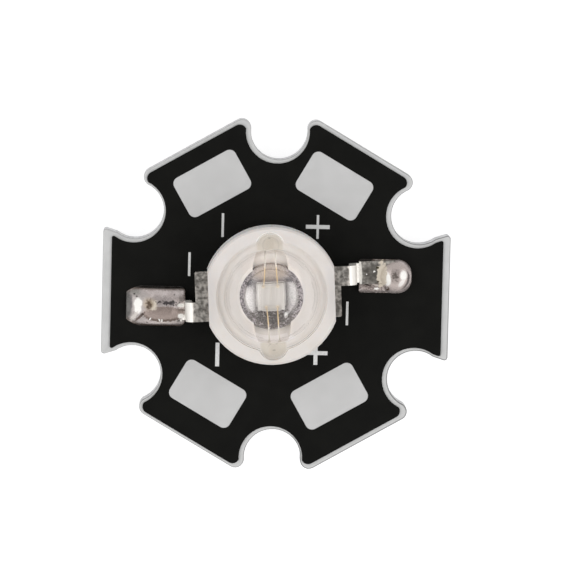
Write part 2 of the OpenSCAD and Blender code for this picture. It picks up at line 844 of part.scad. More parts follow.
// Knob of solder over the foot's tip, a fillet along its open side and a skin on the rest
// of the pad
module solder_joint_plus() {
    outer_x = lead_pad_l / 2;
    color(tin_colour) difference() {
        at_lead_pad(1, pad_z) intersection() {
            linear_extrude(knob_h) lead_pad_outline(1, 0);
            union() {
                intersection() {
                    translate([outer_x - knob_inset, 0, 0])
                        crown(knob_along_r, knob_across_r, knob_h);
                    translate([outer_x - knob_l, -lead_pad_w, 0])
                        cube([2 * knob_l, 2 * lead_pad_w, knob_h]);
                }
                translate([-outer_x, side_fillet_r - lead_pad_w / 2, 0])
                    rotate([0, 90, 0]) cylinder(h = outer_x, r = side_fillet_r);
                linear_extrude(skin_h) lead_pad_outline(1, 0);
            }
        }
        lead(1);
    }
}

aluminium_base();
dielectric_layer();
copper_track(-1);  // copper_track_minus
copper_track(1);  // copper_track_plus
thermal_pad();
solder_mask();
wire_pad(minus_upper_a);  // wire_pad_minus_upper
wire_pad(minus_lower_a);  // wire_pad_minus_lower
wire_pad(plus_upper_a);  // wire_pad_plus_upper
wire_pad(plus_lower_a);  // wire_pad_plus_lower
minus_marks();
plus_marks();
thermal_adhesive();
heat_slug();
housing();
color(tin_colour) lead(-1);  // cathode_lead
color(tin_colour) lead(1);  // anode_lead
die_attach();
led_die();
die_contacts();
bond_wire(0);  // bond_wire_upper_left
bond_wire(1);  // bond_wire_upper_right
bond_wire(2);  // bond_wire_lower_left
bond_wire(3);  // bond_wire_lower_right
silicone_gel();
lens();
solder_joint_minus();
solder_joint_plus();
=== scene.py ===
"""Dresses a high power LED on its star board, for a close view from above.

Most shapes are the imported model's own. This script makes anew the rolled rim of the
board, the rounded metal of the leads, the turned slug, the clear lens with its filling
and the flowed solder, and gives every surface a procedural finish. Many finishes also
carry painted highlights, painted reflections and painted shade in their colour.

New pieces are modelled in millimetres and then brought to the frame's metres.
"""

import logging
import math
from collections.abc import Callable, Iterator, Sequence
from contextlib import contextmanager
from dataclasses import dataclass, field, replace
from enum import Enum
from functools import cache
from typing import Any

import bpy
from mathutils import Matrix, Vector


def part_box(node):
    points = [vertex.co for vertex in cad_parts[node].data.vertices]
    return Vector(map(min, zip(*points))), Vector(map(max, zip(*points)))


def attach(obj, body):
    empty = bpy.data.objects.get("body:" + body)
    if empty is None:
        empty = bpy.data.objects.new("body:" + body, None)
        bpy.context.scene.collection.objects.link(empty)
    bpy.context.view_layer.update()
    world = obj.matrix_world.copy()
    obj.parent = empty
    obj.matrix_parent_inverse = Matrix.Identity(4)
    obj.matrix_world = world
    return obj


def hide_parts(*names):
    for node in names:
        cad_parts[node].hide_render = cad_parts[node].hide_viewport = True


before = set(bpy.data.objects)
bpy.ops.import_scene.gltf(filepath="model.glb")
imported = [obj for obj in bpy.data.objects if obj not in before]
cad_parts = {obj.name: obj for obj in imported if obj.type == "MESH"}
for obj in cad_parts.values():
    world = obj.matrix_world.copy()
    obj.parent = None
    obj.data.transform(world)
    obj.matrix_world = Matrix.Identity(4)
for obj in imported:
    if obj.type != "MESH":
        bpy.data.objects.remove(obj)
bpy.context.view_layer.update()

log = logging.getLogger("star_board_led")

MM = 0.001
BODY = "root"

# Points nearer than this are one, and an edge nearer than this to a level lies in it.
WELD = 0.0005
LEVEL = 0.001
# Faces of a CAD mesh that meet at a smaller angle than this, in degrees, are one face.
FLAT = 0.3

Colour = tuple[float, float, float]
Point = tuple[float, float, float]
Pair = tuple[float, float]
Socket = bpy.types.NodeSocket
Value = Socket | float | Colour

FULL_WHITE: Colour = (1.0, 1.0, 1.0)
EVEN: Point = (1.0, 1.0, 1.0)
# Nearly all values of a noise lie between these two.
MIDDLE: Pair = (0.3, 0.7)


def node_box(node: str) -> tuple[Vector, Vector]:
    """Gives the lowest and the highest corner of a CAD node, in millimetres."""
    low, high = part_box(node)
    return low / MM, high / MM


def deselect() -> None:
    """Leaves edit mode and empties the selection, before an operator is used."""
    if bpy.context.object is not None and bpy.context.object.mode != "OBJECT":
        bpy.ops.object.mode_set(mode="OBJECT")
    bpy.ops.object.select_all(action="DESELECT")


class Cut(Enum):
    """What a boolean does with its tool."""

    ADD = "UNION"
    TAKE = "DIFFERENCE"
    KEEP = "INTERSECT"


class Model:
    """One new piece under work, in millimetres, shaped with Blender's own tools."""

    def __init__(self, name: str) -> None:
        """Takes over the active object and names it."""
        self.obj = bpy.context.object
        self.obj.name = name
        self.obj.data.name = name

    @classmethod
    def primitive(cls, name: str, add: Callable[..., Any], centre: Point,
                  **shape: Any) -> "Model":
        """Adds a primitive by its operator, and applies its place, turn and size."""
        deselect()
        add(location=centre, **shape)
        bpy.ops.object.transform_apply(location=True, rotation=True, scale=True)
        return cls(name)

    @classmethod
    def bar(cls, name: str, radius: float, length: float, centre: Point,
            sides: int = 48) -> "Model":
        """Adds an upright round bar, with its middle at a place."""
        return cls.primitive(name, bpy.ops.mesh.primitive_cylinder_add, centre,
                             vertices=sides, radius=radius, depth=length)

    @classmethod
    def turned(cls, name: str, outline: Sequence[Pair]) -> "Model":
        """Spins an outline about Z, as on a lathe.

        Args:
            name: Name of the piece.
            outline: Points as (radius, height), in order.

        Returns:
            The new model, closed and with its faces outwards.
        """
        deselect()
        bpy.ops.mesh.primitive_plane_add(size=1)
        model = cls(name)
        with model.editing("VERT"):
            bpy.ops.mesh.select_all(action="SELECT")
            bpy.ops.mesh.merge(type="CENTER")
            bpy.ops.transform.translate(value=(outline[0][0], 0, outline[0][1]))
            for (r0, z0), (r1, z1) in zip(outline, outline[1:]):
                bpy.ops.mesh.extrude_vertices_move(
                    TRANSFORM_OT_translate={"value": (r1 - r0, 0, z1 - z0)})
            bpy.ops.mesh.select_all(action="SELECT")
            bpy.ops.mesh.spin(steps=96, angle=math.tau, center=(0, 0, 0), axis=(0, 0, 1))
        model.heal()
        return model

    @classmethod
    def copy_of(cls, node: str, name: str) -> "Model":
        """Copies a CAD node's mesh, in millimetres, and welds its loose triangles.

        Args:
            node: The CAD node.
            name: Name of the new piece.

        Returns:
            The new model, with its flat faces made whole.
        """
        deselect()
        obj = bpy.data.objects.new(name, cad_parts[node].data.copy())
        obj.data.transform(Matrix.Scale(1 / MM, 4))
        obj.data.materials.clear()
        bpy.context.scene.collection.objects.link(obj)
        bpy.context.view_layer.objects.active = obj
        obj.select_set(True)
        model = cls(name)
        with model.editing("VERT"):
            bpy.ops.mesh.select_all(action="SELECT")
            bpy.ops.mesh.remove_doubles(threshold=WELD)
            bpy.ops.mesh.customdata_custom_splitnormals_clear()
            bpy.ops.mesh.dissolve_limited(angle_limit=math.radians(FLAT))
        return model

    @contextmanager
    def editing(self, part: str) -> Iterator[None]:
        """Opens the piece alone in edit mode, where a VERT, EDGE or FACE is selected."""
        self.activate()
        bpy.ops.object.mode_set(mode="EDIT")
        bpy.ops.mesh.select_mode(type=part)
        yield
        bpy.ops.object.mode_set(mode="OBJECT")

    def activate(self) -> None:
        """Makes this piece the only selected and the active one."""
        deselect()
        bpy.context.view_layer.objects.active = self.obj
        self.obj.select_set(True)

    def heal(self) -> None:
        """Merges doubled points and turns the faces outwards."""
        with self.editing("VERT"):
            bpy.ops.mesh.select_all(action="SELECT")
            bpy.ops.mesh.remove_doubles(threshold=WELD)
            bpy.ops.mesh.normals_make_consistent(inside=False)

    def bevel_edges(self, test: Callable[[Vector, Vector], bool], width: float,
                    segments: int = 3) -> None:
        """Rounds the edges that a test picks by their two end points.

        Args:
            test: Says whether an edge between two points is rounded.
            width: Width of the rounding.
            segments: Number of its steps.
        """
        self.activate()
        mesh = self.obj.data
        for part in (mesh.vertices, mesh.polygons):
            part.foreach_set("select", [False] * len(part))
        for edge in mesh.edges:
            a, b = (mesh.vertices[i].co for i in edge.vertices)
            edge.select = test(a, b)
        with self.editing("EDGE"):
            bpy.ops.mesh.bevel(offset=width, segments=segments, affect="EDGES",
                               clamp_overlap=True)

    def modify(self, kind: str, **settings: Any) -> None:
        """Adds a modifier of a kind with its settings, and applies it."""
        self.activate()
        modifier = self.obj.modifiers.new(kind.title(), kind)
        for key, value in settings.items():
            setattr(modifier, key, value)
        bpy.ops.object.modifier_apply(modifier=modifier.name)

    def combine(self, tool: "Model", cut: Cut) -> None:
        """Cuts this piece with another, or joins them, and uses the other up."""
        self.modify("BOOLEAN", object=tool.obj, operation=cut.value, solver="EXACT")
        bpy.data.objects.remove(tool.obj)

    def join(self, other: "Model") -> None:
        """Takes another piece into this one's mesh as it lies."""
        self.activate()
        other.obj.select_set(True)
        bpy.ops.object.join()

    def melt(self, voxel: float, rounds: int) -> None:
        """Makes one skin of cells round all that the piece holds, and smooths it."""
        self.modify("REMESH", mode="VOXEL", voxel_size=voxel)
        self.modify("SMOOTH", iterations=rounds, factor=0.5)

    def sink(self, size: float, depth: float) -> None:
        """Moves the skin inwards by clouds of a size, by up to a depth."""
        clouds = bpy.data.textures.new(self.obj.name, "CLOUDS")
        clouds.noise_scale = size
        self.modify("DISPLACE", texture=clouds, texture_coords="LOCAL",
                    strength=depth, mid_level=1.0)

    def dress(self, finish: "Finish", slot: str, *replaced: str,
              place: Matrix | None = None, smooth: float = 35.0) -> None:
        """Brings the piece to the frame and gives it its finish and its body.

        Args:
            finish: Its finish.
            slot: The record's material slot. It is not used.
            *replaced: CAD nodes that the piece stands for.
            place: Where its own millimetres lie in the frame's.
            smooth: Angle in degrees below which faces are shaded smooth.
        """
        self.activate()
        self.obj.data.transform(Matrix.Scale(MM, 4) @ (place or Matrix.Identity(4)))
        bpy.ops.object.shade_smooth_by_angle(angle=math.radians(smooth))
        self.obj.data.materials.clear()
        self.obj.data.materials.append(finish.material())
        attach(self.obj, BODY)
        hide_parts(*replaced)
        log.info("%s: %d faces", self.obj.name, len(self.obj.data.polygons))


@dataclass(frozen=True)
class Patch:
    """A soft ellipsoid, in millimetres in the frame, with a colour of its own.

    Its edge is soft over a share of its reach, and wanders by ragged in waves of grain
    millimetres. It covers what lies below by its share, and sets how metallic that is
    unless metal is None.
    """

    centre: Point
    reach: Point
    colour: Colour
    soft: float = 0.5
    share: float = 1.0
    turn: float = 0.0
    ragged: float = 0.0
    grain: float = 0.12
    metal: float | None = None


class Tree:
    """A node tree, with short calls for the nodes that several finishes use."""

    def __init__(self, tree: bpy.types.NodeTree) -> None:
        """Takes over a node tree."""
        self.nodes, self.links = tree.nodes, tree.links

    def put(self, target: Socket, value: Value) -> None:
        """Links an output to a socket, or sets the socket to a number or a colour."""
        if isinstance(value, bpy.types.NodeSocket):
            self.links.new(value, target)
        elif isinstance(value, tuple) and len(target.default_value) == len(value) + 1:
            target.default_value = (*value, 1.0)
        else:
            target.default_value = value

    def node(self, kind: str, output: str | int, inputs: dict[str | int, Value],
             **settings: Any) -> Socket:
        """Adds a node and fills its inputs.

        Args:
            kind: Its type, without the ShaderNode that each begins with.
            output: Name or number of the wanted output.
            inputs: Values or links, by name or number.
            **settings: The node's own settings.

        Returns:
            The output.
        """
        node = self.nodes.new("ShaderNode" + kind)
        for key, value in settings.items():
            setattr(node, key, value)
        for key, value in inputs.items():
            self.put(node.inputs[key], value)
        return node.outputs[output]

    def calculate(self, operation: str, first: Value, second: Value = 0.0) -> Socket:
        """Works out one value from two."""
        return self.node("Math", "Value", {0: first, 1: second}, operation=operation)

    def mixed(self, share: Value, first: Value, second: Value) -> Socket:
        """Mixes two numbers."""
        return self.node("Mix", 0, {0: share, 2: first, 3: second})

    def seen_directly(self) -> Socket:
        """Gives 1 to rays from the camera, mirrors and glass, and 0 to others."""
        path = self.nodes.new("ShaderNodeLightPath").outputs
        seen = self.calculate("MAXIMUM", path["Is Camera Ray"], path["Is Glossy Ray"])
        return self.calculate("MAXIMUM", seen, path["Is Transmission Ray"])


class Shader(Tree):
    """The node tree of one finish, whose surface is a Principled shader."""

    def __init__(self, name: str) -> None:
        """Makes a material with an empty Principled shader."""
        self.material = bpy.data.materials.new(name)
        self.material.use_nodes = True
        super().__init__(self.material.node_tree)
        self.nodes.clear()
        self.output = self.nodes.new("ShaderNodeOutputMaterial")
        self.surface = self.nodes.new("ShaderNodeBsdfPrincipled")
        self.put(self.output.inputs["Surface"], self.surface.outputs["BSDF"])
        self.object_space = self.node("TexCoord", "Object", {})

    def set(self, **sockets: Value) -> None:
        """Fills sockets of the Principled shader, named with _ for each space."""
        for name, value in sockets.items():
            self.put(self.surface.inputs[name.replace("_", " ")], value)

    def noise(self, size: float, detail: float = 3.0, stretch: Point = EVEN,
              distortion: float = 0.0) -> Socket:
        """Gives a cloudy pattern.

        Args:
            size: Size of its clouds, in millimetres.
            detail: Number of finer layers.
            stretch: Factor on the coordinates of each axis.
            distortion: How far the clouds are stirred.

        Returns:
            A value round a half.
        """
        place = self.node("VectorMath", "Vector", {0: self.object_space, 1: stretch},
                          operation="MULTIPLY")
        return self.node("TexNoise", "Fac", {"Vector": place, "Scale": 1 / (size * MM),
                                             "Detail": detail, "Distortion": distortion})

    def cells(self, size: float) -> Socket:
        """Gives the distance to the nearest of scattered points, in cells."""
        return self.node("TexVoronoi", "Distance", {"Vector": self.object_space,
                                                    "Scale": 1 / (size * MM)})

    def levels(self, value: Value, low: float, high: float, to_low: float = 0.0,
               to_high: float = 1.0) -> Socket:
        """Spreads the range of a value from low to high over another, and clamps."""
        return self.node("MapRange", "Result", {"Value": value, "From Min": low,
                                                "From Max": high, "To Min": to_low,
                                                "To Max": to_high},
                         interpolation_type="SMOOTHSTEP")

    def drift(self, size: float, low: float, high: float, stretch: Point = EVEN) -> Socket:
        """Gives a value that drifts in clouds of a size between two limits."""
        return self.levels(self.noise(size, stretch=stretch), *MIDDLE, low, high)

    def blend(self, share: Value, first: Value, second: Value) -> Socket:
        """Mixes two colours."""
        return self.node("Mix", 2, {0: share, 6: first, 7: second}, data_type="RGBA")

    def near(self, patch: Patch) -> Socket:
        """Gives 1 in the heart of a patch and 0 outside it."""
        moved = self.node("Mapping", "Vector", {
            "Vector": self.object_space,
            "Location": tuple(c * MM for c in patch.centre),
            "Rotation": (0, 0, math.radians(patch.turn)),
            "Scale": tuple(r * MM for r in patch.reach)}, vector_type="TEXTURE")
        away = self.node("VectorMath", "Value", {0: moved}, operation="LENGTH")
        if patch.ragged:
            wave = self.levels(self.noise(patch.grain, 4), 0.25, 0.75,
                               -patch.ragged, patch.ragged)
            away = self.calculate("ADD", away, wave)
        return self.calculate("MULTIPLY", self.levels(away, 1.0, 1.0 - patch.soft),
                              patch.share)

    def stained(self, colour: Value, metallic: Value,
                patches: Sequence[Patch]) -> tuple[Value, Value]:
        """Lays patches, the lowest first, over a colour and over how metallic it is."""
        for patch in patches:
            mask = self.near(patch)
            colour = self.blend(mask, colour, patch.colour)
            if patch.metal is not None:
                metallic = self.mixed(mask, metallic, patch.metal)
        return colour, metallic

    def along(self, axis: str) -> Socket:
        """Gives the place along an axis, in metres."""
        return self.node("SeparateXYZ", axis, {0: self.object_space})

    def emboss(self, height: Value, depth: float) -> None:
        """Bends the surface's shading by a pattern of a depth in millimetres."""
        self.set(Normal=self.node("Bump", "Normal", {"Distance": depth * MM,
                                                     "Height": height}))


@dataclass(frozen=True)
class Finish:
    """What the finishes share: a name, a material to build and, in most, patches."""

    name: str
    patches: tuple[Patch, ...] = field(default=(), kw_only=True)

    @cache
    def material(self) -> bpy.types.Material:
        """Builds the finish, once for all that wear it."""
        shader = Shader(self.name)
        self.fill(shader)
        return shader.material

    def fill(self, shader: Shader) -> None:
        """Sets up the shader."""
        raise NotImplementedError


@dataclass(frozen=True)
class Metal(Finish):
    """A metal surface with patches of tone, uneven gloss and a fine grain."""

    light: Colour
    dark: Colour
    patch: float = 0.5
    contrast: Pair = MIDDLE
    gloss: Pair = (0.3, 0.45)
    grain: float = 0.05
    grain_depth: float = 0.002
    stretch: Point = EVEN
    metallic: float = 1.0

    def fill(self, shader: Shader) -> None:
        """Mottles the surface, and lays the patches over it."""
        clouds = shader.noise(self.patch, 4, self.stretch)
        even = shader.blend(shader.levels(clouds, *self.contrast), self.dark, self.light)
        colour, metallic = shader.stained(even, self.metallic, self.patches)
        shader.set(Base_Color=colour, Metallic=metallic,
                   Roughness=shader.drift(self.patch / 2, *self.gloss, self.stretch))
        shader.emboss(shader.noise(self.grain, 2, self.stretch), self.grain_depth)


@dataclass(frozen=True)
class Lacquer(Finish):
    """The black mask: smooth to the eye, with faint clouds and a faint orange peel."""

    name: str = "black_lacquer"
    light: Colour = (0.0056, 0.0056, 0.0048)
    dark: Colour = (0.0044, 0.0044, 0.0038)
    gloss: Pair = (0.5, 0.62)
    peel: float = 0.09
    peel_depth: float = 0.0008
    sheen: float = 0.08

    def fill(self, shader: Shader) -> None:
        """Lays faint clouds and the orange peel."""
        clouds = shader.levels(shader.noise(1.2, 4), 0.35, 0.65)
        shader.set(Base_Color=shader.blend(clouds, self.dark, self.light),
                   Roughness=shader.drift(0.4, *self.gloss),
                   Specular_IOR_Level=self.sheen)
        shader.emboss(shader.noise(self.peel, 2), self.peel_depth)


@dataclass(frozen=True)
class Ink(Finish):
    """Screen-printed marks, a little patchy, and fainter on the upper ones."""

    name: str = "grey_ink"
    full: Colour = (0.76, 0.76, 0.75)
    thin: Colour = (0.66, 0.66, 0.65)
    gloss: Pair = (0.55, 0.7)
    faint: Patch = Patch((0.0, 6.0, 1.6), (20.0, 3.2, 2.0), (0.58, 0.58, 0.575), soft=0.2,
                         share=0.9)

    def fill(self, shader: Shader) -> None:
        """Thins the print in small clouds, and over all of the upper marks."""
        clouds = shader.levels(shader.noise(0.12, 4), 0.3, 0.6)
        colour, _ = shader.stained(shader.blend(clouds, self.thin, self.full), 0.0,
                                   (self.faint,))
        shader.set(Base_Color=colour, Roughness=shader.drift(0.2, *self.gloss),
                   Specular_IOR_Level=0.25)
        shader.emboss(shader.noise(0.05), 0.003)


@dataclass(frozen=True)
class Resin(Finish):
    """White moulded resin that light enters a little, with faint flow marks."""

    name: str = "white_resin"
    far: Colour = (0.735, 0.695, 0.67)
    close: Colour = (0.725, 0.687, 0.655)
    warm: Colour = (0.68, 0.63, 0.585)
    speck: Colour = (0.42, 0.39, 0.35)
    slope: Pair = (-3.5, 3.0)
    gloss: Pair = (0.38, 0.52)
    depth: float = 0.25

    def fill(self, shader: Shader) -> None:
        """Paints shade from close to far, and lays flow marks, patches and specks."""
        low, high = (y * MM for y in self.slope)
        even = shader.blend(shader.levels(shader.along("Y"), low, high),
                            self.close, self.far)
        clouds = shader.levels(shader.noise(1.1, 5, distortion=0.6), 0.45, 0.75, to_high=0.6)
        colour, _ = shader.stained(shader.blend(clouds, even, self.warm), 0.0,
                                   self.patches)
        specks = shader.levels(shader.cells(0.8), 0.035, 0.0, to_high=0.7)
        shader.set(Base_Color=shader.blend(specks, colour, self.speck),
                   Roughness=shader.drift(0.3, *self.gloss),
                   Specular_IOR_Level=0.35,
                   Subsurface_Weight=0.3,
                   Subsurface_Scale=self.depth * MM,
                   Subsurface_Radius=(1.0, 0.8, 0.65))
        shader.emboss(shader.noise(0.06), 0.0015)


@dataclass(frozen=True)
class ClearResin(Finish):
    """Clear moulded resin. Light from the lamps passes it unbent."""

    name: str = "clear_resin"
    colour: Colour = (0.985, 0.98, 0.965)
    index: float = 1.48

    def fill(self, shader: Shader) -> None:
        """Makes the resin clear, with a faint haze, and leaves it out of shadows."""
        haze = shader.levels(shader.noise(0.8, 4), 0.4, 0.8, to_high=0.04)
        shader.set(Base_Color=self.colour, Roughness=haze, Transmission_Weight=1.0,
                   IOR=self.index)
        shader.emboss(shader.noise(0.9, 1), 0.004)
        mix = shader.node("MixShader", 0, {
            0: shader.node("LightPath", "Is Shadow Ray", {}),
            1: shader.surface.outputs["BSDF"],
            2: shader.node("BsdfTransparent", 0, {})})
        shader.put(shader.output.inputs["Surface"], mix)


@dataclass(frozen=True)
class Solder(Finish):
    """Bright solder with a wrinkled skin and brown flux round its foot."""

    light: Colour = (0.5, 0.44, 0.425)
    dark: Colour = (0.4, 0.345, 0.33)
    flux: Colour = (0.1, 0.065, 0.04)
    flux_height: Pair = (1.62, 1.85)
    flux_wave: float = 0.12
    gloss: Pair = (0.2, 0.32)
    metal: float = 0.5

    def fill(self, shader: Shader) -> None:
        """Mottles the solder, and lays the flux and the patches over it."""
        clouds = shader.levels(shader.noise(0.45, 5, distortion=0.8), 0.35, 0.6)
        low, high = (z * MM for z in self.flux_height)
        reach = self.flux_wave * MM
        wave = shader.levels(shader.noise(0.25, 4), 0.2, 0.8, -reach, reach)
        flux = shader.levels(shader.calculate("ADD", shader.along("Z"), wave),
                             high, low, to_high=0.85)
        colour, metallic = shader.stained(
            shader.blend(flux, shader.blend(clouds, self.dark, self.light), self.flux),
            shader.mixed(flux, self.metal, 0.4 * self.metal), self.patches)
        shader.set(Base_Color=colour, Metallic=metallic,
                   Roughness=shader.drift(0.35, *self.gloss))
        shader.emboss(shader.noise(0.16, distortion=0.5), 0.003)


@dataclass(frozen=True)
class Chip(Finish):
    """The face of the light-emitting die: pale, with faint lines along it."""

    name: str = "chip_face"
    pale: Colour = (0.6, 0.565, 0.535)
    line: Colour = (0.55, 0.515, 0.485)
    gloss: Pair = (0.3, 0.45)

    def fill(self, shader: Shader) -> None:
        """Lays the lines and the patches."""
        lines = shader.levels(shader.noise(0.09, 2, stretch=(1, 0.06, 1)), 0.35, 0.65)
        colour, _ = shader.stained(shader.blend(lines, self.line, self.pale), 0.0,
                                   self.patches)
        shader.set(Base_Color=colour, Roughness=shader.drift(0.05, *self.gloss),
                   Metallic=0.05)
        shader.emboss(shader.noise(0.04), 0.0003)


ALUMINIUM = Metal("punched_aluminium", (0.62, 0.62, 0.625), (0.44, 0.44, 0.45), patch=0.2,
                  gloss=(0.35, 0.5), grain=0.06, grain_depth=0.004, stretch=(1, 1, 0.08),
                  metallic=0.6)
# The insulation; its patch is painted shade on the rolled edge along the right and lower sides.
INSULATION = Metal("pale_insulation", (0.595, 0.595, 0.59), (0.555, 0.555, 0.55), patch=0.8,
                   gloss=(0.45, 0.6), metallic=0.1, patches=(
                       Patch((10.0, -10.0, 1.41), (26.0, 26.0, 0.0895), (0.22, 0.22, 0.22),
                             soft=0.1),))
TIN = Metal("levelled_tin", (0.583, 0.58, 0.577), (0.562, 0.559, 0.555), patch=1.2,
            gloss=(0.5, 0.6), grain=0.08, grain_depth=0.001, metallic=0.25)
COPPER = Metal("etched_copper", (0.78, 0.42, 0.24), (0.6, 0.3, 0.17))
BONDING = Metal("bonding_layer", (0.62, 0.62, 0.62), (0.5, 0.5, 0.5), metallic=0.3)
CUP_SILVER = Metal("cup_silver", (0.42, 0.375, 0.385), (0.09, 0.075, 0.08), patch=0.07,
                   contrast=(0.35, 0.62), gloss=(0.2, 0.35), grain=0.06, grain_depth=0.004,
                   metallic=0.4)
LEAD_SILVER = Metal("stamped_silver", (0.66, 0.62, 0.57), (0.22, 0.205, 0.185),
                    patch=0.28, contrast=(0.345, 0.665), gloss=(0.28, 0.42), grain=0.07,
                    grain_depth=0.005)
GLUE = Metal("silver_glue", (0.88, 0.86, 0.84), (0.76, 0.73, 0.71), patch=0.05,
             gloss=(0.45, 0.6), metallic=0.1)
GOLD: Colour = (0.66, 0.5, 0.3)
WIRE = Metal("bond_wire", (0.76, 0.7, 0.63), (0.7, 0.64, 0.57), patch=0.08,
             gloss=(0.35, 0.5), grain=0.02, grain_depth=0.0005, metallic=0.1)
CONTACT = replace(WIRE, name="chip_contact", light=(0.64, 0.6, 0.55),
                  dark=(0.59, 0.55, 0.5))


@dataclass
class StarBoard:
    """The star board: core, insulation, mask, pads and printed marks."""

    roll: float = 0.09
    burr: float = 0.05

    def rolled_layer(self, node: str, slot: str, finish: Metal, width: float,
                     on_top: bool) -> None:
        """Makes a CAD layer anew, with its top or its bottom edge rolled by the punch."""
        low, high = node_box(node)
        level = high.z if on_top else low.z
        model = Model.copy_of(node, f"{node}_rolled")
        model.bevel_edges(lambda a, b: max(abs(a.z - level), abs(b.z - level)) < LEVEL,
                          width)
        model.dress(finish, slot, node)

    def build(self) -> None:
        """Builds and dresses the board."""
        self.rolled_layer("aluminium_base", "core_aluminium", ALUMINIUM, self.burr, False)
        self.rolled_layer("dielectric_layer", "insulating_layer", INSULATION, self.roll,
                          True)
        dress_nodes(Lacquer(), "solder_mask")
        dress_nodes(TIN, "wire_pad")
        dress_nodes(Ink(), "minus_marks", "plus_marks")
        dress_nodes(COPPER, "copper_track", "thermal_pad")
        dress_nodes(BONDING, "thermal_adhesive")


def dress_nodes(finish: Finish, *starts: str) -> None:
    """Gives a finish to the CAD nodes whose names start so, and keeps their shape."""
    for node in (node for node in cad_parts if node.startswith(starts)):
        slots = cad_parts[node].data.materials
        slots.clear()
        slots.append(finish.material())
        log.info("%s: finish %s", node, finish.name)


